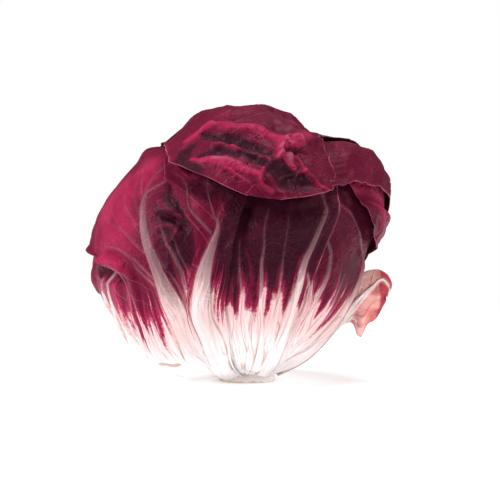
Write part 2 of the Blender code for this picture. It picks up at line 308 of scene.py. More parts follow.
# Where the skin stands out further: azimuth, rise and reach in degrees, and millimetres.
SWELLS = (
    (92, 115, 38, 8.0), (-80, 166, 26, 1.6), (90, 147, 24, -7.0), (84, 168, 20, 1.5), (88, 157, 12, 4.0),
    (-85, 147, 16, -3.0), (-88, 138, 10, 3.0),
)
LAYER = 0.0017
PRESS_MARGIN, PRESS_FADE = math.radians(1.5), math.radians(9)
BLADE_THICKNESS = 0.0005
EDGE_THICKNESS = 0.00022
BASE_THICKNESS = 0.0007
STEM_CLEARANCE = 0.0012
MARGIN_POINTS, END_POINTS = 70, 12
FAR_INSIDE, FAR_OUTSIDE = 20.0, -6.0
# Millimetres: how far apart the side veins are, how a fan's ribs and a lip stand, and where a margin thins.
VEIN_SPACING = 11.0
FAN_HIGH, FAN_WIDE, FAN_LEAST = 1.5, 3.6, 0.4
LIP_HIGH, LIP_WIDE, TAPER_WIDE = 0.5, 5, 2.5
# How far a side vein rises for each step outward, and a fan's minor ribs against its midrib.
VEIN_SLANT, FAN_MINOR = 1.05, 0.42
# Degrees of rise: where a leaf's base ends, where its midrib and its other ribs fade, and over how many.
BASE_ENDS, MIDRIB_ENDS, FAN_ENDS, ENDS_OVER = 62, 150, 112, 25


def through(stations, values, at):
    """A smooth curve through values at stations: cubic pieces, their slopes set by the points beside."""
    stations = np.asarray(stations, float)
    values = np.asarray(values, float)
    at = np.clip(at, stations[0], stations[-1])
    slopes = np.gradient(values, stations)
    i = np.clip(np.searchsorted(stations, at, side="right") - 1, 0, len(stations) - 2)
    span = stations[i + 1] - stations[i]
    t = (at - stations[i]) / span
    rise_part = (2 * t**3 - 3 * t**2 + 1) * values[i] + (3 * t**2 - 2 * t**3) * values[i + 1]
    slope_part = (t**3 - 2 * t**2 + t) * slopes[i] + (t**3 - t**2) * slopes[i + 1]
    return rise_part + span * slope_part


def along(values, share):
    """Values at even steps, read at a share of the way through them."""
    return np.interp(share, np.linspace(0, 1, len(values)), values)


def compass(azimuth):
    """Outward and sideways directions at an azimuth in degrees, 0 at the front and 90 at the right."""
    turn = math.radians(azimuth)
    outward = np.array((math.sin(turn), -math.cos(turn), 0.0))
    sideways = np.array((math.cos(turn), math.sin(turn), 0.0))
    return outward, sideways


def direction_of(azimuth, rise, across):
    """Unit directions at a rise from straight down on the azimuth's great circle, and an angle across it."""
    outward, sideways = compass(azimuth)
    climb = np.sin(rise)[..., None] * outward - np.cos(rise)[..., None] * UP
    return np.cos(across)[..., None] * climb + np.sin(across)[..., None] * sideways


def head_radius(direction):
    """Distance from the middle to the head's skin: an ellipsoid, drawn in or let out by four outlines."""
    radius = 1 / np.linalg.norm(direction / HALF_SIZE, axis=-1)
    rise = np.arccos(np.clip(-direction[..., 2], -1, 1))
    turn = np.arctan2(direction[..., 0], -direction[..., 1])
    steps = np.linspace(0, math.pi, len(OUTLINE["front"]))
    front, right, back, left = (through(steps, shares, rise) for shares in OUTLINE.values())
    share = (front + right + back + left) / 4
    share += (front - back) / 2 * np.cos(turn) + (right - left) / 2 * np.sin(turn)
    share += (front + back - right - left) / 4 * np.cos(2 * turn)
    for azimuth, height, reach, amount in SWELLS:
        middle = direction_of(azimuth, np.radians(height), np.zeros(()))
        away = np.degrees(np.arccos(np.clip(direction @ middle, -1, 1))) / reach
        share = share + amount * MILLIMETRE / HEAD_RADIUS * (1 - smooth_step(away))
    return radius * share


def crest(away):
    """1 along the middle of a line, falling to 0 just past its half width, where away is 1."""
    return 1 - smooth_step((away - 0.15) / 1.05)


class Line:
    """A run over the head through points of azimuth and rise, in degrees.

    wide is its half width and high how far it stands out, in millimetres, at even steps along it.
    """

    def __init__(self, path, wide, high):
        turn, rise = np.radians(path).T
        corners = np.stack((np.sin(rise) * np.sin(turn), -np.sin(rise) * np.cos(turn), -np.cos(rise)), -1)
        run = np.append(0, np.cumsum(np.linalg.norm(np.diff(corners, axis=0), axis=-1)))
        even = np.linspace(0, run[-1], max(int(run[-1] / 0.008), 6))
        spots = np.stack([through(run, part, even) for part in corners.T], axis=-1)
        self.spots = spots / np.linalg.norm(spots, axis=-1, keepdims=True)
        ahead = np.gradient(self.spots, axis=0)
        self.step = np.linalg.norm(ahead, axis=-1).mean()
        self.ahead = ahead / np.linalg.norm(ahead, axis=-1, keepdims=True)
        self.aside = np.cross(self.spots, self.ahead)
        self.wide, self.high = np.atleast_1d(wide), np.atleast_1d(high)

    def near(self, direction):
        """Millimetres aside of the line, left positive, millimetres past its ends, half width and height."""
        nearest = (direction.reshape(-1, 3) @ self.spots.T).argmax(axis=-1).reshape(direction.shape[:-1])
        gap = direction - self.spots[nearest]
        aside = (gap * self.aside[nearest]).sum(axis=-1)
        ahead = (gap * self.ahead[nearest]).sum(axis=-1)
        last = len(self.spots) - 1
        past = np.maximum(np.where(nearest == 0, -ahead, np.where(nearest == last, ahead, 0)), 0)
        share = np.clip((nearest + ahead / self.step) / last, 0, 1)
        return aside * RADIUS_MM, past * RADIUS_MM, along(self.wide, share), along(self.high, share)


class Rib(Line):
    """A pale rib: how white it is, 0 to 1, and how deep a groove runs along it, in millimetres."""

    def __init__(self, path, wide, high, white, groove=0.0):
        super().__init__(path, wide, high)
        self.white, self.groove = white, groove

    def marks(self, direction):
        """Its relief in metres, millimetres in from its edge, and its white, at each direction."""
        aside, past, wide, high = self.near(direction)
        body = crest(np.hypot(aside / wide, past / wide))
        groove = self.groove * (1 - smooth_step(np.abs(aside) / (0.28 * wide))) * (body > 0)
        inside = 0.85 * wide - np.hypot(aside, past)
        white = self.white * (0.25 + 0.75 * smooth_step(wide / 2.2))
        return (high * body - groove) * MILLIMETRE, inside, white


class Fold(Line):
    """A fold, a hollow or a patch of skin. Its tone is how much brighter the skin is painted on it: mostly
    painted shade in hollows and dark patches, and painted highlight and sheen on ridges and bright patches.

    slope stretches its flank on one side: left of its run when positive, right when negative.
    """

    def __init__(self, path, wide, high, tone_and_painted_light, slope=0.0):
        super().__init__(path, wide, high)
        self.tone_and_painted_light, self.slope = tone_and_painted_light, slope

    def marks(self, direction):
        """Its relief in metres and its tone, mostly painted light and shade, at each direction."""
        aside, past, wide, high = self.near(direction)
        reach = np.where(aside * self.slope > 0, wide * (1 + abs(self.slope)), wide)
        body = crest(np.hypot(aside / reach, past / wide))
        return high * body * MILLIMETRE, self.tone_and_painted_light * body


class Leaf:
    """One leaf: the azimuth it climbs on, and rows of rise, left margin, midrib and right margin.

    Its habit is what sets it apart from the plain leaf that the values below describe.
    """

    flare = None  # metres it stands off, the rise and spread of that, and the margin let out, or 0
    ribs = ()  # path, half widths, heights, white, and any groove of each
    folds = ()  # path, half widths, heights, tone of painted shade and highlight, and any slope of each
    crumples = ()  # size and amount in millimetres, seed, and the fold they keep to, if any
    fan = ()  # places across it, -1 to 1, of plain ribs that run up from its base
    white = 62.0  # rise where its white base gives way to red
    sheltered = 0.0  # least share of a layer that it sinks under each leaf laid before it
    grid = (150, 200)  # points across and along each face
    layer = LAYER
    quilt = 0.35  # millimetres that its skin swells between side veins
    tone_and_painted_light = 0.0  # how much brighter than plain its skin is; on the front and shoulder leaves, painted shade and painted light
    ruffle = 1.2  # degrees that its margins wander
    hug = 0  # margin that lies flat on the head, without folds: -1 left, 1 right
    rim = 1.0  # how pale the very margin is
    seed = 1

    def __init__(self, name, azimuth, rows, **habit):
        vars(self).update(habit)
        self.name, self.azimuth, self.rows = name, azimuth, np.radians(rows).T
        self.ribs = [Rib(*rib) for rib in self.ribs]
        self.folds = [Fold(*fold) for fold in self.folds]
        self.over = []
        self.start, self.reach = self.rows[0][0], self.rows[0][-1]

    def margins(self, rise):
        """Angles across of the left margin, the midrib and the right margin at a rise."""
        return [through(self.rows[0], values, rise) for values in self.rows[1:]]

    def edge(self):
        """Directions of points all round the leaf's edge."""
        rise = np.linspace(self.start, self.reach, MARGIN_POINTS)
        left, _, right = self.margins(rise)
        share = np.linspace(0, 1, END_POINTS)
        rises = [rise, rise, np.full(END_POINTS, rise[0]), np.full(END_POINTS, rise[-1])]
        acrosses = [left, right] + [left[end] + (right[end] - left[end]) * share for end in (0, -1)]
        return direction_of(self.azimuth, np.concatenate(rises), np.concatenate(acrosses))

    def press(self, direction):
        """1 where the leaf lies over a direction, fading to 0 outside its edge."""
        outward, sideways = compass(self.azimuth)
        across = np.arcsin(np.clip(direction @ sideways, -1, 1))
        rise = np.arctan2(direction @ outward, -(direction @ UP))
        rise = (rise + math.pi / 4) % (2 * math.pi) - math.pi / 4
        left, _, right = self.margins(rise)
        under = (across > left) & (across < right) & (rise > self.start) & (rise < self.reach)
        to_edge = np.arccos(np.clip((direction @ self.edge().T).max(axis=-1), -1, 1))
        past = np.where(under, 0, to_edge)
        return 1 - smooth_step((past - PRESS_MARGIN) / PRESS_FADE)

    def hollow(self, direction):
        """How far the leaf's own folds dip below its plain surface, which whatever lies under must clear."""
        dips = [fold.marks(direction)[0] for fold in self.folds if fold.high.min() < 0]
        return -np.minimum(np.sum(dips, axis=0), 0) if dips else 0.0

    def depth(self, direction):
        """How far the leaf sinks below the skin under those that lie over it, and how covered it is."""
        sunk = np.full(direction.shape[:-1], BLADE_THICKNESS)
        cover = np.zeros(direction.shape[:-1])
        for other in self.over:
            press = other.press(direction)
            sunk += self.layer * np.maximum(press, self.sheltered) + press * other.hollow(direction)
            cover = np.maximum(cover, press)
        return sunk, cover

    def lift(self, rise, side, cover):
        """How far a flared leaf stands off the head, only where no other leaf lies over it."""
        if self.flare is None:
            return 0.0
        amount, middle, spread, margin = self.flare
        climb = np.exp(-(((np.degrees(rise) - middle) / spread) ** 2))
        toward = smooth_step((side * margin + 0.2) / 1.2) if margin else 1.0
        return amount * climb * toward * (1 - cover)

    def settle(self, over):
        """Lays the leaf under the ones before it, and starts it where it clears the side of the stem."""
        self.over = list(over)
        rise = np.radians(np.linspace(4, 80, 400))
        direction = direction_of(self.azimuth, rise, np.zeros_like(rise))
        sunk = BLADE_THICKNESS + LAYER * len(self.over) * 0.4
        spot = CENTRE + direction * (head_radius(direction) - sunk)[:, None]
        taper = np.clip(spot[:, 2] / STEM_LENGTH, 0, 1)
        needed = STEM_RADIUS + (STEM_TIP_RADIUS - STEM_RADIUS) * taper + STEM_CLEARANCE
        blocked = np.flatnonzero(np.hypot(spot[:, 0], spot[:, 1]) <= needed)
        self.start = rise[blocked[-1] + 1] if len(blocked) else rise[0]

    def rises(self, up):
        """Rises for shares up the leaf, spaced so that neither margin takes a long step."""
        rise = np.linspace(self.start, self.reach, 300)
        left, _, right = self.margins(rise)
        steps = np.maximum(np.hypot(np.diff(rise), np.diff(left)), np.hypot(np.diff(rise), np.diff(right)))
        run = np.append(0, np.cumsum(steps))
        return np.interp(up, run / run[-1], rise)

    def spread(self, up, side):
        """Rise, direction and half width in millimetres at shares up the leaf and across it."""
        rise = self.rises(up)
        left, middle, right = self.margins(rise)
        sway = np.stack((rise * HEAD_RADIUS, np.sign(side) * 0.5, np.zeros_like(rise)), axis=-1)
        ragged = lumps(sway, 0.009, self.seed) + 0.5 * lumps(sway, 0.0035, self.seed + 5)
        ragged = np.radians(self.ruffle) * ragged * smooth_step((np.degrees(rise) - 45) / 30)
        ragged = ragged * smooth_step((np.abs(side) - 0.6) / 0.4) * np.sign(side)
        width = np.where(side < 0, middle - left, right - middle)
        direction = direction_of(self.azimuth, rise, middle + side * width + ragged)
        return rise, direction, width * RADIUS_MM

    def rib_marks(self, direction, rise, up, side, half):
        """Relief of the ribs in metres, millimetres in from the nearest edge of one, and its white.

        The fan's ribs narrow and fade as they climb, the midrib's last.
        """
        degrees = np.degrees(rise)
        marks = [rib.marks(direction) for rib in self.ribs]
        for place in self.fan:
            wander = place + 0.05 * np.sin(rise * 3 + place * 9 + self.seed) * smooth_step(up * 3)
            aside = np.abs(side - wander) * half
            main, ends = (1.0, MIDRIB_ENDS) if place == 0 else (FAN_MINOR, FAN_ENDS)
            wide = np.maximum(FAN_WIDE * main * (1 - 0.85 * smooth_step((degrees - 30) / 95)), FAN_LEAST)
            fade = 1 - smooth_step((degrees - ends) / ENDS_OVER)
            relief = FAN_HIGH * main * (crest(aside / wide) * fade) * MILLIMETRE
            marks.append((relief, 0.85 * wide - aside - 3 * (1 - fade), 1.0))
        ribs, white = np.zeros_like(rise), np.zeros_like(rise)
        inside = np.full_like(rise, FAR_OUTSIDE)
        for relief, from_edge, strength in marks:
            ribs = np.maximum(ribs, relief)
            white = np.where(from_edge > inside, strength, white)
            inside = np.maximum(inside, from_edge)
        return ribs, inside, white

    def surface(self, up, side):
        """The leaf's outer face over a share up it (0 to 1) and across it (-1 to 1), with its marks.

        Radius is the head's skin, less the layers over it, plus flare, ribs, folds, the swells
        between side veins, crumples and a rolled lip; what stands out fades away under cover.
        """
        rise, direction, half = self.spread(up, side)
        degrees = np.degrees(rise)
        spot = direction * HEAD_RADIUS
        sunk, cover = self.depth(direction)
        sunk = sunk * (0.3 + 0.7 * smooth_step((degrees - 14) / 22))
        free = 1 - cover
        upper = smooth_step((degrees - BASE_ENDS) / ENDS_OVER)
        out = np.abs(side) * half
        to_margin = (1 - np.abs(side)) * half
        ribs, inside, pale = self.rib_marks(direction, rise, up, side, half)
        rib = smooth_step(inside / 0.8 + 0.5)

        relief = np.zeros_like(rise)
        tone_and_painted_light = np.full_like(rise, self.tone_and_painted_light)
        for fold in self.folds:
            height, brighter = fold.marks(direction)
            relief += height
            tone_and_painted_light += brighter
        phase = (rise * RADIUS_MM - VEIN_SLANT * out) / VEIN_SPACING + self.seed * 0.37
        phase = phase + 0.45 * lumps(spot, 0.028, self.seed + 9)
        pillow = np.cos(2 * math.pi * phase) * smooth_step(out / 6) * upper
        uneven = 0.55 + 0.6 * lumps(spot, 0.022, self.seed + 11)
        relief -= self.quilt * pillow * uneven * MILLIMETRE * (1 - rib)
        for size, amount, seed, *region in self.crumples:
            rough = lumps(spot, size * MILLIMETRE, seed) + 0.5 * lumps(spot, size * MILLIMETRE / 2, seed + 1)
            where = region[0].marks(direction)[1] if region else upper
            crease = np.maximum(1 - np.abs(rough) * 1.6, -0.6)
            relief += amount * MILLIMETRE * crease * where * (1 - 0.8 * rib)
        furrow = np.stack((side * 0.042, rise * HEAD_RADIUS * 0.10, np.full_like(rise, self.seed * 0.1)), -1)
        relief += 0.9 * lumps(furrow, 0.006, self.seed + 7) * (1 - upper) * (1 - rib) * MILLIMETRE
        lip = (1 - smooth_step(to_margin / LIP_WIDE)) * upper
        relief += (LIP_HIGH + 0.3 * lumps(spot, 0.008, self.seed + 3)) * lip * MILLIMETRE
        relief = relief * (1 - smooth_step((side * self.hug - 0.45) / 0.4))
        standing = np.where(relief < 0, relief, relief * free) + ribs * free
        radius = head_radius(direction) - sunk + standing + self.lift(rise, side, cover)
        outer = CENTRE + direction * radius[..., None]
        thick = BLADE_THICKNESS + 0.5 * ribs * free + BASE_THICKNESS * (1 - upper)
        thin = EDGE_THICKNESS + (thick - EDGE_THICKNESS) * smooth_step(to_margin / TAPER_WIDE)
        return outer, outer - direction * thin[..., None], {
            "rib": inside, "pale": pale, "tone_and_painted_light": tone_and_painted_light, "white": self.white - degrees,
            "margin": np.minimum(to_margin, FAR_INSIDE) + (1 - self.rim),
            "grain": np.stack((side * 42, rise * RADIUS_MM, rise * 0), -1),
            "side_vein": np.stack((phase, out, rise * 0), axis=-1),
        }

    def build(self, node, material, slot):
        """Makes the leaf's piece: both faces of its grid, joined round the edge."""
        wide, long = self.grid
        up, side = np.meshgrid(np.linspace(0, 1, long), np.linspace(-1, 1, wide), indexing="ij")
        outer, inner, marks = self.surface(up, side)
        add_piece(closed_sheet(self.name, outer, inner, marks), material, node)


def closed_sheet(name, outer, inner, marks):
    """A closed mesh from an outer and an inner grid of points, with its marks on every point."""
    index = np.arange(outer[..., 0].size).reshape(outer.shape[:2])
    count = index.size
    face = np.stack((index[:-1, :-1], index[:-1, 1:], index[1:, 1:], index[1:, :-1]), -1).reshape(-1, 4)
    ring = np.concatenate((index[0, :-1], index[:-1, -1], index[-1, :0:-1], index[:0:-1, 0]))
    after = np.roll(ring, -1)
    rim = np.stack((after, ring, ring + count, after + count), axis=-1)
    mesh = bpy.data.meshes.new(name)
    points = np.concatenate((outer.reshape(-1, 3), inner.reshape(-1, 3)))
    faces = np.concatenate((face, face[:, ::-1] + count, rim))
    mesh.from_pydata(points.tolist(), [], faces.tolist())
    hold(mesh, marks, copies=2)
    return mesh


def leaf_finish(name, dark, blade, bright, rib_high, rib_middle, base):
    """A leaf's skin: red blade with painted light and shade on it, pale veins and ribs, and a white base that
    breaks into the red in flames.
    """
    finish = Finish(
        name, Subsurface_Weight=0.03, Subsurface_Scale=0.003, Specular_IOR_Level=0.13,
        Specular_Tint=(1.0, 0.45, 0.6), Sheen_Weight=0.04, Sheen_Roughness=0.4, Sheen_Tint=(1.0, 0.70, 0.82),
    )
    place = finish.place()
    grain, side_vein = finish.mark("grain", "Vector"), finish.mark("side_vein", "Vector")
    rib, pale, white = finish.mark("rib"), finish.mark("pale"), finish.mark("white")
    tone_and_painted_light, margin = finish.mark("tone_and_painted_light"), finish.mark("margin")
    phase, out = finish.part(side_vein, 0), finish.part(side_vein, 1)

    # Patterns: some drawn out along the leaf, some even all over it.
    flames = finish.noise(finish.stretch(grain, 0.24, 0.03), 1.0, 3.0, 0.6)
    licks = finish.noise(finish.stretch(grain, 1.0, 0.10), 1.0, 4.0, 0.65)
    threads = finish.noise(finish.stretch(grain, 2.0, 0.06), 1.0, 3.0)
    furrows = finish.noise(finish.stretch(grain, 0.30, 0.022), 1.0, 1.0, 0.4)
    cloud = finish.noise(place, 90.0, 3.0)
    fine = finish.noise(place, 900.0, 3.0, 0.6)
    drift = finish.stretch(finish.noise(place, 160.0, out=1), 0.005, 0.005, 0.005)
    drifted = finish.node("ShaderNodeVectorMath", {"operation": "ADD"}, {0: place, 1: drift})
    edges = {"feature": "DISTANCE_TO_EDGE"}
    net = 1 - finish.node("ShaderNodeTexVoronoi", edges, {"Vector": drifted, "Scale": 210.0}).ramp(0.01, 0.07)

    # How white the skin is: below the flames' edge, and further up beside a rib.
    beside = (rib + 2.5).ramp(0.0, 2.5)
    bleached = white + (flames - 0.5) * 70.0 + (licks - 0.5) * 13.0 + beside * 9.0 - 3.0
    whiteness = (bleached + (fine - 0.5) * 14.0).ramp(-3.5, 5.5)
    washed = (bleached + 11.0).ramp(-6.0, 12.0)
    crease = 1 - abs(furrows - 0.5).ramp(0.0, 0.022)

    # The red blade, darker and brighter by its tone's painted light and shade, with a lilac painted sheen
    # where brightest; its veins, its pale ribs and its margin.
    shade = tone_and_painted_light + (cloud - 0.5) * 1.5 + (fine - 0.5) * 0.35
    middle = abs((phase + (cloud - 0.5) * 0.25).fraction() - 0.5)
    branch = (1 - middle.ramp(0.012, 0.045)) * out.ramp(30.0, 4.0) * (tone_and_painted_light + cloud).ramp(-0.1, 0.8) * 0.5
    veins = branch.most(net * 0.05)
    within = (rib + (fine - 0.5) * 0.3).ramp(-0.35, 0.35) * pale
    rib_colour = finish.coats(
        rib_high,
        (white.ramp(-62.0, -32.0), rib_middle),
        (white.ramp(-26.0, 6.0), base),
        ((fine - 0.5).ramp(0.0, 0.4) * 0.30, (0.50, 0.28, 0.28)),
        (threads.ramp(0.48, 0.75) * 0.55, (0.34, 0.15, 0.18)),
    )
    red = finish.coats(
        dark,
        (shade.ramp(-1.0, 0.15), blade),
        (shade.ramp(0.1, 1.1), bright),
        # a lilac painted sheen where the painted light is brightest
        (shade.ramp(1.2, 2.6) * 0.7, (0.30, 0.09, 0.14)),
        (washed * 0.7, (0.42, 0.018, 0.08)),
        (veins * 0.55, (0.42, 0.085, 0.15)),
        ((rib + 1.6).ramp(0.0, 1.6) * 0.35 * pale, rib_high),
        (within, rib_colour),
        ((1 - margin.ramp(0.25, 0.9)) * (0.25 + cloud.ramp(0.4, 0.65) * 0.45), (0.46, 0.10, 0.18)),
    )

    # The white base: blushed near the red, threaded, with painted shade along its creases and beside its
    # ribs, and scarred.
    blushing = (white + (flames - 0.5) * 40.0).ramp(24.0, 0.0) * licks.ramp(0.38, 0.66) * (1 - within)
    # Painted shade along one side of each rib in the white base.
    rib_edge_painted_shade = (1 - abs(rib + 0.25).ramp(0.0, 0.75)) * pale * cloud.ramp(0.3, 0.55)
    cream = finish.coats(
        base,
        (white.ramp(2.0, 32.0), (0.95, 0.90, 0.90)),
        (blushing * 0.75, (0.72, 0.30, 0.35)),
        (threads.ramp(0.5, 0.8) * 0.35, (0.66, 0.42, 0.40)),
        # painted shade in the creases of the base
        (crease * (1 - within) * 0.5, (0.50, 0.24, 0.22)),
        # painted shade beside each rib
        (rib_edge_painted_shade * 0.75, (0.40, 0.21, 0.17)),
        ((-1.0 * tone_and_painted_light + licks).ramp(1.5, 3.0) * 0.8, (0.46, 0.27, 0.19)),
    )

    threaded = threads * 0.45 * within.most(whiteness)
    wrinkles = finish.noise(place, 130.0, 3.0, 0.65)
    folded = (1 - abs(wrinkles - 0.5).ramp(0.0, 0.09)) * cloud.ramp(0.4, 0.62) * (1 - whiteness)
    height = veins * 0.5 + fine * 0.12 + threaded + cloud * 0.3 - crease * whiteness * 0.8
    finish.show(
        Base_Color=finish.coats(red, (whiteness, cream)),
        Roughness=0.5 + (cloud - 0.5) * 0.22 + whiteness * 0.08,
        Normal=finish.bump(folded, 0.0008, 0.55, Normal=finish.bump(height, 0.0007, 0.8)),
    )
    return finish.material


# Dark, middle and bright skin, a rib high up and half way up, and the base.
BURGUNDY = leaf_finish(
    "burgundy_leaf", (0.026, 0.0022, 0.0082), (0.098, 0.0020, 0.0175), (0.27, 0.010, 0.048),
    (0.16, 0.038, 0.06), (0.20, 0.10, 0.11), (0.76, 0.56, 0.55),
)
# The curled leaf's pink is painted brighter than its own, a painted glow for the light shining through it.
ROSE_WITH_PAINTED_GLOW = leaf_finish(
    "rose_leaf_with_painted_glow", (0.45, 0.06, 0.08), (0.84, 0.34, 0.30), (0.92, 0.58, 0.50),
    (0.92, 0.72, 0.66), (0.92, 0.78, 0.74), (0.94, 0.84, 0.82),
)
BLUSH = leaf_finish(
    "blush_leaf", (0.20, 0.03, 0.06), (0.40, 0.10, 0.14), (0.62, 0.26, 0.30),
    (0.70, 0.45, 0.45), (0.80, 0.60, 0.58), (0.90, 0.84, 0.80),
)
LAID = []


def lay(leaf, node, material=BURGUNDY, slot="leaf_burgundy"):
    """Settles a leaf under all that were laid before it, and builds it."""
    leaf.settle(LAID)
    LAID.append(leaf)
    leaf.build(node, material, slot)


# The curled leaf's rib past the flank, the ways that its upper and its lower half spread from it,
# and their widths in millimetres, from the flank out to the rolled end.
CURL_SPINE = (
    (40.5, 6, 24), (45.5, 1, 30.4), (50.6, -4, 36.5), (55.5, -7, 42), (59, -9, 45), (61.3, -8.5, 42.5),
    (61, -7, 38),
)
CURL_ABOVE = (
    (0, -0.9, 0.2), (-0.3, -0.6, 0.6), (-0.55, -0.2, 0.8), (-0.5, 0.1, 0.85), (-0.2, 0.2, 0.95),
    (0.5, 0.2, 0.8), (0.9, 0.1, 0.2),
)
CURL_BELOW = (
    (0, 0.85, -0.5), (0, 0.5, -0.85), (-0.05, 0.1, -1), (-0.1, -0.05, -1), (-0.05, -0.15, -1),
    (-0.05, -0.1, -1), (-0.2, 0, -1),
)
CURL_UPPER = (3.0, 3.2, 3.4, 3.8, 5.5, 7.8, 5.2, 2.6, 0.8)
CURL_LOWER = (3.0, 3.2, 3.4, 6.5, 16.5, 16.0, 13.0, 8.0, 3.0)
CURL_FLANK = math.radians(30)
RIB_THICKNESS = 0.0008


class CurledLeaf(Leaf):
    """A short outer leaf that stands off the flank, turns outward at the top and hangs down."""

    def surface(self, up, side):
        """A spine through points, spread to both sides by a width that varies along it."""
        sideways = compass(self.azimuth)[1]
        climb = np.array((self.start, CURL_FLANK))
        flank = direction_of(self.azimuth, climb, np.zeros(2))
        base = CENTRE + flank * (head_radius(flank) - BLADE_THICKNESS)[:, None]
        spots = np.concatenate((base, np.array(CURL_SPINE) * MILLIMETRE))
        run = np.append(0, np.cumsum(np.linalg.norm(np.diff(spots, axis=0), axis=-1)))
        stations = run / run[-1]
        spine = np.stack([through(stations, part, up) for part in spots.T], axis=-1)
        halves = []
        for start, ways in ((-sideways, CURL_ABOVE), (sideways, CURL_BELOW)):
            ways = np.concatenate(([start, start], ways))
            way = np.stack([through(stations, part, up) for part in ways.T], axis=-1)
            halves.append(way / np.linalg.norm(way, axis=-1, keepdims=True))
        spread = np.where(side[..., None] < 0, halves[0], halves[1])
        half = np.where(side < 0, through(stations, CURL_UPPER, up), through(stations, CURL_LOWER, up))
        torn = lumps(np.stack((up * 0.06, np.sign(side) * 0.3, up * 0), -1), 0.0035, 4)
        half = half * (1 + 0.22 * torn * smooth_step((up - 0.5) / 0.15))
        aside = np.abs(side) * half
        middle = spine + aside[..., None] * spread * MILLIMETRE
        middle[..., 1] += 2.2 * MILLIMETRE * (aside / 9) ** 2 * smooth_step((up - 0.4) / 0.2)
        normal = np.cross(np.gradient(middle, axis=1), np.gradient(middle, axis=0))
        normal /= np.linalg.norm(normal, axis=-1, keepdims=True) + 1e-12
        rib_wide = 0.6 + 2.9 * (1 - smooth_step((up - 0.62) / 0.3))
        rib = 1 - smooth_step((aside / rib_wide - 0.5) / 0.5)
        ruck = lumps(middle, 0.007, 8) + 0.6 * lumps(middle, 0.0035, 9)
        crumpled = smooth_step((up - 0.45) / 0.2) * smooth_step(aside / 3)
        relief = MILLIMETRE * (0.9 * ruck * crumpled + 1.0 * rib)
        outer = middle + normal * relief[..., None]
        to_margin = (1 - np.abs(side)) * half
        thick = EDGE_THICKNESS + 0.0006 * smooth_step(to_margin / 3) + RIB_THICKNESS * rib
        blush = 1.1 * smooth_step((lumps(middle, 0.007, 5) + 0.2) / 0.5) - 0.35
        blush = np.where(side < 0, blush * 0.4 + 0.8, blush) - 3.0 * smooth_step((up - 0.86) / 0.06)
        return outer, outer - normal * thick[..., None], {
            "rib": 0.7 * rib_wide - aside, "pale": np.ones_like(up), "tone_and_painted_light": blush,
            "white": (0.66 - up) * 110, "margin": np.minimum(to_margin, FAR_INSIDE),
            "grain": np.stack((side * 20, up * 60, up * 0), axis=-1),
            "side_vein": np.stack((up * 7 - aside / 9, aside, up * 0), axis=-1),
        }


CURLED = ((10, -6, 0, 6), (70, -8, 0, 8))
lay(CurledLeaf("torn_curled_leaf", 100, CURLED, grid=(60, 150)), "curled_leaf", ROSE_WITH_PAINTED_GLOW, "leaf_rose")

# The two outer leaves of the back: broad red blades on strong white ribs,
# which lap from behind the head round to its left.
BACK_OUTER = (
    (10, -7, 0, 7), (40, -26, 0, 24), (70, -38, 0, 36), (92, -40, 2, 40), (108, -28, 4, 32),
    (116, -12, 4, 18),
)
BACK_LEFT = (
    (10, -8, 0, 8), (40, -28, 0, 26), (70, -44, 2, 32), (105, -50, 2, 30), (135, -42, 0, 27),
    (158, -20, 0, 13),
)
FAN = (0, -0.24, 0.26, -0.5, 0.52, -0.76, 0.78)
lay(Leaf("back_outer_blade", 172, BACK_OUTER, fan=FAN, crumples=((11, 1.0, 21),), seed=2,
         grid=(120, 150), white=58), "back_outer_leaf")
lay(Leaf("back_left_blade", -142, BACK_LEFT, fan=FAN, crumples=((12, 1.2, 31),), seed=3,
         grid=(130, 170), white=60, tone_and_painted_light=0.2, hug=1), "back_left_leaf")

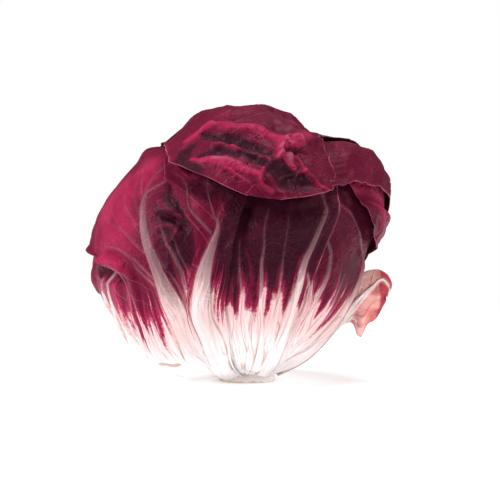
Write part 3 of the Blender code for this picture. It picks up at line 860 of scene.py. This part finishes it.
# The cap leaf: it climbs the back, wraps over the top and folds down in
# front, where its crumpled free margin hangs like a lip over the front leaves.
CAP = (
    (10, -8, 0, 8), (60, -35, 0, 35), (100, -46, -2, 48), (140, -42, -4, 46), (175, -36, -10, 42),
    (200, -45, -18, 32), (216, -53, -20, 22), (226, -53, -20, 17), (233, -52, -22, 11), (239, -47, -24, -1),
    (243, -42, -24, -10), (247, -34, -26, -20),
)
# The folds' tones paint shade into the hollows and highlight onto the ridges, and a lilac painted sheen on
# the knot's swirl.
CAP_FOLDS = (
    ([(-25, 152), (-33, 145), (-37, 138), (-38, 131), (-38, 127)], (1.5, 1.8, 1.4), (1.2, 1.5, 1), 0.4, 1),
    ([(-30, 138), (-31, 132), (-28, 128)], (3, 3.5, 2.5), (-0.8, -1.6, -1), -0.9),
    ([(-40, 142), (-29, 148), (-16, 151), (-4, 148), (11, 146), (18, 142), (24, 138)], (2.5, 4, 4.2, 3.4),
      (0.6, 1.8, 2, 1.4), 0.9),
    ([(-26, 144), (-14, 142), (-2, 139), (8, 135), (14, 131)], (2.5, 4, 4.4, 3.6, 2.5),
      (-1.5, -3.2, -3.4, -2.4), -2),
    ([(-20, 130), (-10, 132), (-2, 130)], (2.6, 3.2, 2.6), (-1, -2.4, -1.4), -1.6),
    ([(2, 131), (7, 128), (12, 124)], (2.4, 3, 2.4), (-1.4, -2.8, -1.2), -1.6),
    ([(-26, 128), (-18, 127), (-8, 125.5), (0, 123), (7, 120)], (1.8, 2.4, 2.8, 2), (0.8, 1.6, 1.4, 0.8),
      1.1),
    ([(-34, 133), (-29, 126), (-20, 122)], (4, 5, 4), (-0.4, -0.8, -0.4), -1),
    ([(-16, 136), (-9, 137), (-2, 135)], (1.2, 1.8, 1.2), (0.8, 1.8, 0.8), 0.9),
    ([(24, 135), (21, 129), (16, 125), (11, 122), (9, 119), (9, 115), (13, 112)], (1.1, 1.3, 1.1),
      (1.8, 2.4, 1.4), 0.7),
    ([(29, 128), (30, 122), (32, 117), (35, 113), (39, 110)], (1.2, 1.4, 1.1), (1.6, 2.2, 1.2), 0.7),
    ([(16, 122), (21, 118), (27, 116)], (5, 6.6, 5), (-1.4, -3.2, -2), -2.2),
    ([(22, 113), (24, 117), (26, 120), (30, 121)], (0.7, 0.8, 0.7), (0.9, 1.4, 0.9), 1.2),
    ([(17, 117), (20, 119), (24, 120)], (0.6, 0.7, 0.6), (0.7, 1.2, 0.7), 1),
    ([(-5, 136), (3, 131), (9, 129), (14, 126)], (0.9, 1.2, 1), (0.9, 1.4, 0.9), 0.7),
    ([(-11, 118), (-7, 122), (0, 119), (5, 115)], (0.9, 1.1, 0.8), (0.6, 1, 0.5), 0.6),
    ([(24, 128), (27, 133), (34, 137), (46, 139)], (3, 3.6, 3), (1.6, 2.6, 1.4), 0.9, 0.8),
    ([(31, 140), (27, 137), (30, 133), (36, 134), (36, 138), (32, 138)], (0.9, 1.2, 0.9), (0.8, 1.2, 0.8),
      0.9),
    ([(22, 134), (20, 130), (18, 127)], (1.1, 1.6, 1.1), (0.6, 1, 0.6), 1.4),
    ([(26, 130), (24, 126), (25, 122)], (1.6, 2.6, 1.4), (0.4, 0.6, 0.4), 1.5),
    ([(-12, 127), (-6, 126.5), (0, 125)], (1.4, 2, 1.4), (0.3, 0.5, 0.3), 0.9),
    ([(20, 131), (24, 131), (29, 131)], (1.4, 1.8, 1.4), (-0.8, -1.8, -0.8), -1.4),
    ([(40, 146), (62, 152), (86, 155), (100, 150)], (4, 5, 5, 4), (0.4, 0.8, 0.8, 0.4), 0.3, -0.8),
    ([(-45, 133), (-60, 140), (-80, 146)], (2.2, 3, 2.4), (1, 1.8, 1.2), 0.3),
    ([(-20, 160), (10, 165), (60, 168)], (4, 5, 4), (0.5, 1, 0.5), 0.3),
)
lay(Leaf("cap_blade", 160, CAP, flare=(0.0050, 240, 16, 0), folds=CAP_FOLDS, fan=FAN[:5],
         crumples=((24, 1.2, 41), (10, 0.9, 43), (5, 0.35, 45)), seed=4, grid=(180, 235),
         white=60, quilt=0.1, ruffle=1.6, hug=1), "cap_leaf")

# The hood and shoulder leaves: they come round from the back right, stand off
# the head there, and end in rolled margins with fine parallel veins.
HOOD = (
    (10, -7, 0, 7), (60, -26, 0, 34), (95, -34, -4, 44), (115, -44, -8, 44), (132, -54, -12, 42),
    (150, -60, -18, 40), (176, -63, -26, 26), (190, -60, -30, 8), (204, -50, -36, -22),
)
SHOULDER = (
    (10, -7, 0, 7), (60, -16, 4, 34), (84, -22, 6, 44), (92, -42, 2, 46), (104, -52, -4, 46),
    (128, -51, -6, 44), (150, -40, -4, 32), (164, -16, -2, 12),
)
HOOD_VEINS = (
    [(49, 121), (54, 127), (58, 135)], [(55, 120), (60, 127), (64, 134)], [(60, 118), (66, 126), (73, 134)],
    [(68, 117), (76, 124), (84, 132)], [(76, 116), (84, 122), (94, 130)],
)
HOOD_FOLDS = [(path, (0.5, 0.4), (0.35, 0.2), 0.35) for path in HOOD_VEINS]
# A hollow with painted shade along the hood's fold.
HOOD_FOLDS.append(([(40, 124), (52, 138), (70, 146)], (2.5, 3, 2), (-0.8, -1.4, -0.8), -0.3))
# The ridges' tones paint highlight on them, and the hollow's tone paints shade in it.
SHOULDER_FOLDS = (
    ([(61, 115), (64, 110), (74, 103), (86, 97)], (1.3, 1.6, 1.3), (0.8, 1.4, 0.8), 0.4, 1.5),
    ([(75, 112), (84, 105), (90, 98)], (4, 5, 4), (0.5, 1.2, 0.5), 0.9),
    ([(58, 108), (66, 101), (74, 95)], (3, 4, 3), (-0.8, -1.4, -0.8), -0.6),
)
lay(Leaf("hood_blade", 130, HOOD, flare=(0.0024, 158, 34, -1), folds=HOOD_FOLDS, fan=FAN,
         crumples=((14, 1.0, 51),), seed=5, grid=(160, 210), tone_and_painted_light=0.1), "hood_leaf")
# The shoulder's skin is painted brighter, a painted light over the shade it sits in.
lay(Leaf("right_shoulder_blade", 118, SHOULDER, flare=(0.0040, 108, 18, -1), folds=SHOULDER_FOLDS, fan=FAN,
         crumples=((12, 1.0, 61),), seed=6, grid=(150, 190), tone_and_painted_light=0.5), "right_shoulder_leaf")

# The wavy leaf of the front: a narrow blade on a thick white rib that bends
# twice and ends at a knee, where a pale fold runs off to the left.
WAVY = (
    (10, -4, 0, 5), (35, -3, 0, 6), (50, -6, -1, 8), (70, -6, -3, 10), (80, -3, 1, 12),
    (92, -1, 4, 14), (100, -3, 6, 15), (107, -8, 4, 16), (117, -14, 0, 18), (128, -22, -2, 18),
    (140, -16, -2, 14), (148, -7, 0, 6),
)
WAVY_RIBS = (
    ([(-16, 20), (-16, 34), (-14, 44), (-14, 53), (-16.5, 63), (-15.5, 72), (-14, 81), (-12, 88), (-10, 94),
      (-8.5, 100), (-9, 103)], (5, 5.4, 5.6, 5.5, 5, 4.3, 3.1, 1.7, 0.6),
      (1.6, 2, 2.4, 2.7, 2.7, 2.4, 2.1, 1.6, 0.7), 1, 0.12),
    ([(-9, 101), (-12, 109), (-16, 119), (-18, 126)], (0.5, 0.35, 0.25), (0.8, 0.6, 0.4), 0.5),
    ([(-11, 97), (-15, 101), (-21, 107), (-24, 115), (-30, 122), (-37, 125)], (0.6, 0.6, 0.5, 0.4),
      (1.2, 1.2, 1, 0.7), 0.7),
)
# The flat patches' tones paint shade beside the rib and under the cap; the hollow's tone paints shade and the
# ridge's a highlight.
WAVY_FOLDS = (
    ([(-20, 36), (-19.5, 48), (-21, 58), (-22, 66)], (0.5, 0.6, 0.5, 0.4), (-0.8, -1, -0.7), -0.4),
    ([(-15, 104), (-18, 108), (-21, 112)], (2, 2.6, 2), (0.4, 0.8, 0.4), 0.5),
    ([(-4, 72), (-3, 84), (-2, 94), (2, 108), (2, 124)], (5, 7, 8, 10, 11), 0, -2.2),
    ([(-22, 118), (-14, 116), (-8, 122)], (7, 8, 7), 0, -0.7),
)
lay(Leaf("wavy_rib_blade", -16, WAVY, ribs=WAVY_RIBS, folds=WAVY_FOLDS, crumples=((9, 0.5, 71),),
         seed=7, grid=(90, 230), white=68, quilt=0.15, ruffle=0.6, rim=0.2), "wavy_rib_leaf")

# The left face leaf: the big blade of the front left. Its midrib forks from
# the base, bows to the left and thins out over the top; side veins slant off.
LEFT_FACE = (
    (10, -6, 4, 8), (44, -14, 7, 16), (62, -11, 8, 22), (78, -10, 5, 26), (83, -15, 3, 27),
    (88, -39, 1, 28), (104, -60, -5, 28), (125, -58, 0, 26), (146, -42, 5, 22), (162, -18, 3, 14),
)
LEFT_RIBS = (
    ([(-31, 22), (-30, 34), (-28, 42), (-27, 50), (-27.5, 60), (-30, 72), (-33, 83), (-38, 93), (-42, 102),
      (-45, 111), (-43, 118), (-37, 126), (-32, 136), (-27, 143)], (5, 5.2, 5.2, 4.6, 3, 2, 1.15, 0.6, 0.3),
      (1.5, 1.9, 2.4, 2.6, 2.5, 2, 1.4, 0.9, 0.5), 1, 0.35),
    ([(-33, 84), (-41, 91), (-52, 97), (-63, 100), (-75, 104)], (0.7, 0.5, 0.4), (0.7, 0.5, 0.3), 0.4),
    ([(-37, 92), (-43, 97), (-52, 104), (-61, 110)], (0.6, 0.5, 0.4), (0.6, 0.4, 0.3), 0.4),
    ([(-42, 101), (-49, 108), (-55, 114), (-60, 121)], (0.6, 0.5, 0.4), (0.6, 0.4, 0.3), 0.4),
    ([(-32, 76), (-38, 82), (-45, 87), (-53, 90), (-63, 91)], (0.9, 0.6, 0.4), (0.9, 0.6, 0.3), 0.6),
    ([(-29, 68), (-33, 75), (-38, 79), (-44, 84)], (1.1, 0.7, 0.5), (1, 0.7, 0.4), 0.7),
    ([(-22, 56), (-22, 66), (-23, 78), (-24, 83), (-26, 88), (-30, 94), (-33, 100)], (1.8, 1.2, 0.8, 0.5),
      (1.1, 0.9, 0.7, 0.5), 0.75),
    ([(-21, 60), (-19, 75), (-21, 82), (-24, 88), (-27, 95)], (1.4, 0.9, 0.6, 0.4), (0.9, 0.7, 0.5, 0.4),
      0.5),
    ([(-27, 59), (-24, 67), (-25, 75), (-28, 82)], (1.2, 0.8, 0.5), (0.8, 0.6, 0.4), 0.5),
    ([(-45, 111), (-49, 120), (-49, 131), (-46, 141)], (0.9, 0.6, 0.4), (0.9, 0.6, 0.4), 0.6),
    ([(-43, 118), (-43, 131), (-44, 143), (-43, 151)], (0.7, 0.5, 0.4), (0.7, 0.5, 0.3), 0.4),
    ([(-45, 108), (-52, 116), (-57, 128), (-60, 140)], (0.7, 0.5, 0.4), (0.7, 0.5, 0.3), 0.4),
)
# Tones paint shade into the hollows and the dark patch between the ribs, highlight onto the ridges, and a
# broad painted sheen on the left blade; the last, far below plain, marks a brown scar in the base.
LEFT_FOLDS = (
    ([(-80, 89), (-68, 84), (-54, 85), (-47, 81), (-46, 72), (-46, 66), (-50, 50)], (2.6, 3.2, 2.6, 2),
      (1.6, 2.2, 1.4, 0.8), 0.2),
    ([(-58, 96), (-66, 106), (-62, 120)], (20, 24, 22), (0.2, 0.4, 0.2), 0.8),
    ([(-22, 88), (-25, 95), (-26, 104), (-25, 113)], (5, 7, 8, 6), (-0.8, -1.6, -1.8, -1), -0.5),
    ([(-26, 84), (-28, 98), (-30, 112), (-32, 124)], (9, 12, 12, 9), 0, -0.75),
    ([(-37, 110), (-31, 106), (-25, 104)], (1.2, 1.7, 1.2), (1, 1.8, 0.6), 0.9),
    ([(-35, 99), (-30, 100), (-24, 96)], (1.1, 1.6, 1.1), (0.6, 1.6, 0.9), 0.8),
    ([(-34, 119), (-31, 113), (-25, 110)], (1.2, 1.8, 1.2), (0.8, 1.8, 1), 0.8),
    ([(-35, 104), (-29, 102.5), (-24, 99)], (1.4, 2, 1.2), (-0.8, -1.6, -0.6), -0.6),
    ([(-36, 114), (-30, 109), (-25, 107)], (1.6, 1.8, 1.3), (-0.6, -1.6, -0.8), -0.6),
    ([(-29, 92), (-26, 97), (-27, 103)], (1, 1.3, 1), (0.5, 1, 0.5), 0.6),
    ([(-23, 71), (-21, 76), (-21, 82)], (1.8, 2.2, 1.6), (0.2, 0.4, 0.2), 1),
    ([(-50, 84), (-58, 86), (-66, 86)], (2.2, 3, 2.2), (1.2, 2.2, 1.4), 0.2, 1.5),
    ([(-44, 37), (-52, 37), (-60, 38)], (1.8, 3.2, 2), (-0.2, -0.5, -0.2), -2.9),
)
BULLATE = Fold([(-26, 84), (-28, 98), (-27, 112), (-28, 124)], (9, 12, 13, 10), 0, 1.0)
lay(Leaf("left_face_blade", -40, LEFT_FACE, ribs=LEFT_RIBS, folds=LEFT_FOLDS,
         crumples=((11, 1.5, 81, BULLATE), (5, 0.6, 83, BULLATE), (18, 0.7, 85)), seed=8,
         grid=(190, 230), white=60, quilt=0.2, ruffle=1.0), "left_face_leaf")

# The front leaf: the smooth dark blade in the middle. Fine ribs run up it
# side by side, and its thick midrib climbs along its right edge.
FRONT = (
    (10, -6, 3, 7), (38, -22, 3, 10), (54, -32, 4, 10), (66, -36, 6, 13), (79, -38, 9, 12),
    (90, -40, 13, 16), (101, -40, 18, 21), (110, -38, 20, 24), (125, -34, 20, 28), (140, -26, 18, 26),
    (152, -8, 12, 18),
)
FRONT_RIBS = (
    ([(-2, 24), (-2, 33), (-3, 51), (-5, 65)], (2, 1.5, 1, 0.6), (0.6, 0.8, 0.6, 0.3), 0.9),
    ([(9, 24), (6, 43), (3, 59), (1, 72), (0, 83), (0, 94)], (2.2, 1.7, 1.1, 0.65, 0.42, 0.25),
      (1.1, 1.3, 1.1, 0.8, 0.5, 0.3), 0.85),
    ([(16, 24), (14, 33), (11, 53), (9, 67), (9, 76), (9, 85), (10, 92), (10, 98), (13, 108)],
      (2.4, 2.1, 1.5, 1.05, 0.8, 0.5, 0.3), (1.2, 1.5, 1.5, 1.3, 1, 0.7, 0.3), 0.9, 0.15),
    ([(22, 26), (20, 42), (17, 55), (17, 67), (17, 74), (17, 78), (18, 86), (19, 93), (21, 104)],
      (2, 1.6, 1, 0.55, 0.4, 0.25), (1.1, 1.3, 1.1, 0.8, 0.4, 0.3), 0.8),
    ([(16, 47), (14, 58), (15, 66), (15, 72)], (1.2, 0.9, 0.6), (0.5, 0.4, 0.2), 0.5),
    ([(30, 20), (26, 34), (24, 43), (23, 56), (24, 68), (26, 76), (28, 85), (32, 93), (36, 101), (40, 107),
      (41, 111), (43, 120), (52, 131)], (3.6, 3.8, 3.5, 2.8, 2.1, 1.5, 1.1, 0.8, 0.45),
      (1.5, 2, 2.4, 2.5, 2.2, 1.8, 1.4, 1, 0.5), 1, 0.18),
    ([(30, 60), (32, 66), (32, 72), (30, 80)], (0.8, 1.1, 0.7), (0.3, 0.5, 0.3), 0.8),
)
# The hollows' tones paint shade below the cap, and the small ridge's tone paints a highlight.
FRONT_FOLDS = (
    ([(2, 70), (5, 78), (4, 86), (2, 91)], (1.6, 1.3, 1), (0.3, 0.3, 0.2), 0.8),
    ([(-3, 104), (4, 106), (12, 108)], (8, 9, 8), (-0.8, -1, -0.8), -0.5),
    ([(-6, 84), (5, 86), (20, 92), (30, 100)], (9, 12, 10), (-0.2, -0.3, -0.2), -0.45),
)
# The front blade's skin is painted darker, painted shade for the dark middle of the head.
lay(Leaf("front_blade", 22, FRONT, ribs=FRONT_RIBS, folds=FRONT_FOLDS, crumples=((18, 0.6, 91),),
         seed=9, grid=(180, 220), white=66, quilt=0.12, tone_and_painted_light=-0.7, ruffle=0.3), "front_leaf")

# The lower left leaf: its short white ribs come up from the base and go under
# the folded margin of the left face leaf.
LOWER_LEFT = (
    (10, -6, 0, 6), (40, -24, -2, 16), (60, -38, 0, 20), (80, -44, 5, 20), (92, -34, 6, 18),
    (100, -10, 4, 12),
)
LOWER_RIBS = (
    ([(-84, 24), (-76, 35), (-62, 44), (-54, 55), (-49, 66), (-47, 75), (-46, 82)],
      (2.6, 2.8, 2.6, 2.2, 1.8, 1.4), (1, 1.4, 1.6, 1.6, 1.4, 1), 1, 0.3),
    ([(-84, 49), (-75, 58), (-67, 68), (-64, 76), (-62, 81)], (1.6, 1.5, 1.2, 1), (0.8, 1, 1, 0.8), 1),
    ([(-84, 59), (-78, 67), (-73, 74), (-69, 78)], (0.8, 0.8, 0.6), (0.6, 0.7, 0.5), 0.9),
    ([(-46, 56), (-44, 64), (-42, 70)], (0.7, 0.6, 0.4), (0.5, 0.4, 0.3), 0.7),
)
# The second fold's tone paints deep shade into the hollow under the left face leaf's folded margin; the
# first's paints a faint highlight on its ridge.
LOWER_FOLDS = (
    ([(-88, 72), (-84, 78), (-82, 82)], (1.2, 1.8, 1.2), (1, 2.2, 1.2), 0.2),
    ([(-72, 81), (-62, 81), (-49, 79)], (3, 4.6, 3.6), (-1, -4, -2.5), -4),
)
lay(Leaf("lower_left_blade", -58, LOWER_LEFT, ribs=LOWER_RIBS, folds=LOWER_FOLDS, fan=(-0.8,),
         seed=10, grid=(140, 170), white=65, tone_and_painted_light=0.3, quilt=0.1), "lower_left_leaf")

# The right flank leaf: it shows between the front leaf's midrib and the
# hood, with two strong ribs that bow to the right and a minor one between.
RIGHT_FLANK = (
    (10, -7, 0, 7), (34, -20, -4, 18), (50, -27, 3, 28), (65, -29, 14, 38), (76, -29, 19, 43),
    (90, -29, 16, 43), (101, -28, 6, 36), (111, -22, 0, 26), (118, -10, 0, 14),
)
FLANK_RIBS = (
    ([(46, 22), (38, 34), (36, 40), (39, 47), (38, 62), (40, 71), (42, 81), (43, 90), (41, 95), (39, 102),
      (37, 107)], (2.4, 2.3, 1.9, 1.5, 1.25, 1.05, 0.8, 0.5), (1.2, 1.6, 1.7, 1.6, 1.4, 1.2, 0.9, 0.5),
      0.9),
    ([(40, 36), (42, 44), (44, 56), (49, 65), (52, 73), (54, 79)], (1.4, 1.1, 0.8, 0.5),
      (0.7, 0.7, 0.5, 0.3), 0.8),
    ([(43, 52), (46, 63), (49, 71), (50, 84), (50, 92)], (0.8, 0.6, 0.4), (0.5, 0.4, 0.2), 0.35),
    ([(48, 22), (50, 29), (55, 40), (61, 54), (68, 66), (72, 74), (75, 84), (68, 94), (61, 101), (53, 107),
      (49, 110)], (3, 3, 2.7, 2.2, 1.8, 1.4, 1.05, 0.7, 0.4), (1.2, 1.6, 1.9, 1.9, 1.7, 1.4, 1.1, 0.8, 0.4),
      0.95),
)
lay(Leaf("right_flank_blade", 60, RIGHT_FLANK, ribs=FLANK_RIBS, seed=11, grid=(160, 190), white=60,
         crumples=((15, 0.5, 95),), quilt=0.15, tone_and_painted_light=-0.35), "right_flank_leaf")

# The three broad leaves beneath: they close the left, the back and the right
# of the head, and show between the outer ones.
BROAD = (
    (10, -7, 0, 7), (40, -28, 0, 28), (75, -48, 0, 48), (110, -56, 0, 56), (145, -44, 0, 44),
    (168, -18, 0, 18),
)
for part, azimuth, seed in (("left_back", -104, 12), ("back", 176, 13), ("right_back", 98, 14)):
    lay(Leaf(f"{part}_blade", azimuth, BROAD, fan=FAN, crumples=((12, 0.9, seed * 7),), seed=seed,
             grid=(130, 160), tone_and_painted_light=0.15), f"{part}_leaf")

# The inner leaves: nine paler ones packed round the heart, each turned from
# the last by the golden angle and half hidden from the light.
INNER = (
    (10, -10, 0, 10), (45, -30, 0, 30), (80, -52, 0, 52), (120, -60, 0, 60), (160, -48, 0, 48),
    (185, -20, 0, 20),
)
GOLDEN_ANGLE = 137.5
for number in range(9):
    azimuth = (GOLDEN_ANGLE * number + 20) % 360
    lay(Leaf(f"inner_blade_{number + 1:02d}", azimuth, INNER, sheltered=0.75, grid=(44, 60), layer=0.0023,
             seed=20 + number, fan=(0, -0.4, 0.4)), f"inner_leaf_{number + 1:02d}", BLUSH, "leaf_pale")

# The heart: the tight bud of the youngest leaves on the stem's tip, as big as
# its frame, with their folded edges winding up it.
BUD_ENDS = 0.06
BUD_REACH = 0.03


def bud_surface(turn, rise):
    """A ball over a turn and a rise: its radius dips along edges that wind up from the foot."""
    middle = (HEART_LOW + HEART_HIGH) / 2
    radius = (HEART_HIGH - HEART_LOW).min() / 2
    wound = (turn * 3 / (2 * math.pi) + rise * 0.8) % 1
    dent = 0.06 * (1 - smooth_step(np.abs(wound - 0.5) / 0.12)) * np.sin(rise)
    reach = radius * (0.995 - dent)
    flat = np.sin(rise) * reach
    return middle + np.stack((flat * np.cos(turn), flat * np.sin(turn), -np.cos(rise) * reach), axis=-1)


def build_heart():
    climb = np.linspace(BUD_ENDS, math.pi - BUD_ENDS, 50)
    around = np.linspace(0, 2 * math.pi, 90, endpoint=False)
    rise, turn = np.meshgrid(climb, around, indexing="ij")
    rings = bud_surface(turn, rise)
    mesh = closed_turn("heart_of_young_leaves", rings, rings[0].mean(axis=0), rings[-1].mean(axis=0))
    spots = np.empty(len(mesh.vertices) * 3)
    mesh.vertices.foreach_get("co", spots)
    spots = spots.reshape(-1, 3)
    plain = np.zeros(len(spots))
    climb = np.arccos(np.clip(-(spots - CENTRE)[:, 2] / BUD_REACH, -1, 1))
    grain = np.stack((spots[:, 0] * 1000, climb * 30, plain), axis=-1)
    hold(mesh, {
        "rib": plain + FAR_OUTSIDE, "pale": plain, "tone_and_painted_light": 0.6 * lumps(spots, 0.01, 77),
        "white": 70 - np.degrees(climb), "margin": plain + FAR_INSIDE, "grain": grain, "side_vein": grain,
    })
    add_piece(mesh, BLUSH, "heart_bud")


build_heart()

# The stage: a round white table in a white room, four soft lights, and the
# camera, which looks at the head almost level.
TABLE_RADIUS = 0.45
TABLE_SIDES = 96
LIGHT_SIZE = 0.36
ROOM_GLOW, ROOM_SEEN = 0.08, 1.0
FRAME_WIDTH = 0.220
LENS = 150.0
SENSOR = 36.0
CAMERA_RISE = math.radians(2.0)
AIM = np.array((0.0013, 0.0, 0.062))


def build_table():
    around = np.linspace(0, 2 * math.pi, TABLE_SIDES, endpoint=False)
    rim = np.stack((np.cos(around), np.sin(around), around * 0), axis=-1) * TABLE_RADIUS
    mesh = bpy.data.meshes.new("white_table")
    mesh.from_pydata(rim.tolist(), [], [list(range(TABLE_SIDES))])
    finish = Finish(
        "white_table", Roughness=0.9, Specular_IOR_Level=0.0, Emission_Strength=0.45, Emission_Color=(1, 1, 1)
    )
    cloud = finish.noise(finish.place(), 3.0)
    finish.show(Base_Color=finish.coats((0.93, 0.93, 0.93), (cloud * 0.3, (0.97, 0.97, 0.97))))
    mesh.materials.append(finish.material)
    table = bpy.data.objects.new("white_table", mesh)
    bpy.context.scene.collection.objects.link(table)


def soft_light(name, place, power, aim):
    """A round soft light at a place, turned to shine at its aim."""
    light = bpy.data.lights.new(name, "AREA")
    light.shape = "DISK"
    light.size = LIGHT_SIZE
    light.energy = power
    lamp = bpy.data.objects.new(name, light)
    bpy.context.scene.collection.objects.link(lamp)
    away = np.array(place) - np.array(aim)
    lamp.location = place
    tilt = math.atan2(math.hypot(away[0], away[1]), away[2])
    lamp.rotation_euler = (tilt, 0, math.atan2(away[0], -away[1]))


build_table()
soft_light("window", (-0.78, -0.34, 0.56), 12.0, (0, 0, 0.06))
soft_light("right", (0.72, -0.12, 0.30), 2.0, (0, 0, 0.06))
soft_light("low_front", (0.30, -0.85, 0.05), 1.1, (0.01, 0, 0.02))
soft_light("top", (0.12, -0.05, 0.95), 7.0, (0, 0, 0.06))

# The room shows white to the camera and lights the head only a little.
world = bpy.data.worlds.new("white_room")
world.use_nodes = True
sky = world.node_tree.nodes["Background"]
sky.inputs["Color"].default_value = (1, 1, 1, 1)
ray = world.node_tree.nodes.new("ShaderNodeLightPath")
level = world.node_tree.nodes.new("ShaderNodeMapRange")
level.inputs["To Min"].default_value = ROOM_GLOW
level.inputs["To Max"].default_value = ROOM_SEEN
world.node_tree.links.new(ray.outputs["Is Camera Ray"], level.inputs["Value"])
world.node_tree.links.new(level.outputs["Result"], sky.inputs["Strength"])
bpy.context.scene.world = world
bpy.context.scene.view_settings.view_transform = "Standard"

lens = bpy.data.cameras.new("camera")
lens.lens = LENS
lens.sensor_width = SENSOR
camera = bpy.data.objects.new("camera", lens)
bpy.context.scene.collection.objects.link(camera)
distance = FRAME_WIDTH * LENS / SENSOR
camera.location = AIM + distance * np.array((0, -math.cos(CAMERA_RISE), math.sin(CAMERA_RISE)))
camera.rotation_euler = (math.pi / 2 - CAMERA_RISE, 0, 0)
bpy.context.scene.camera = camera
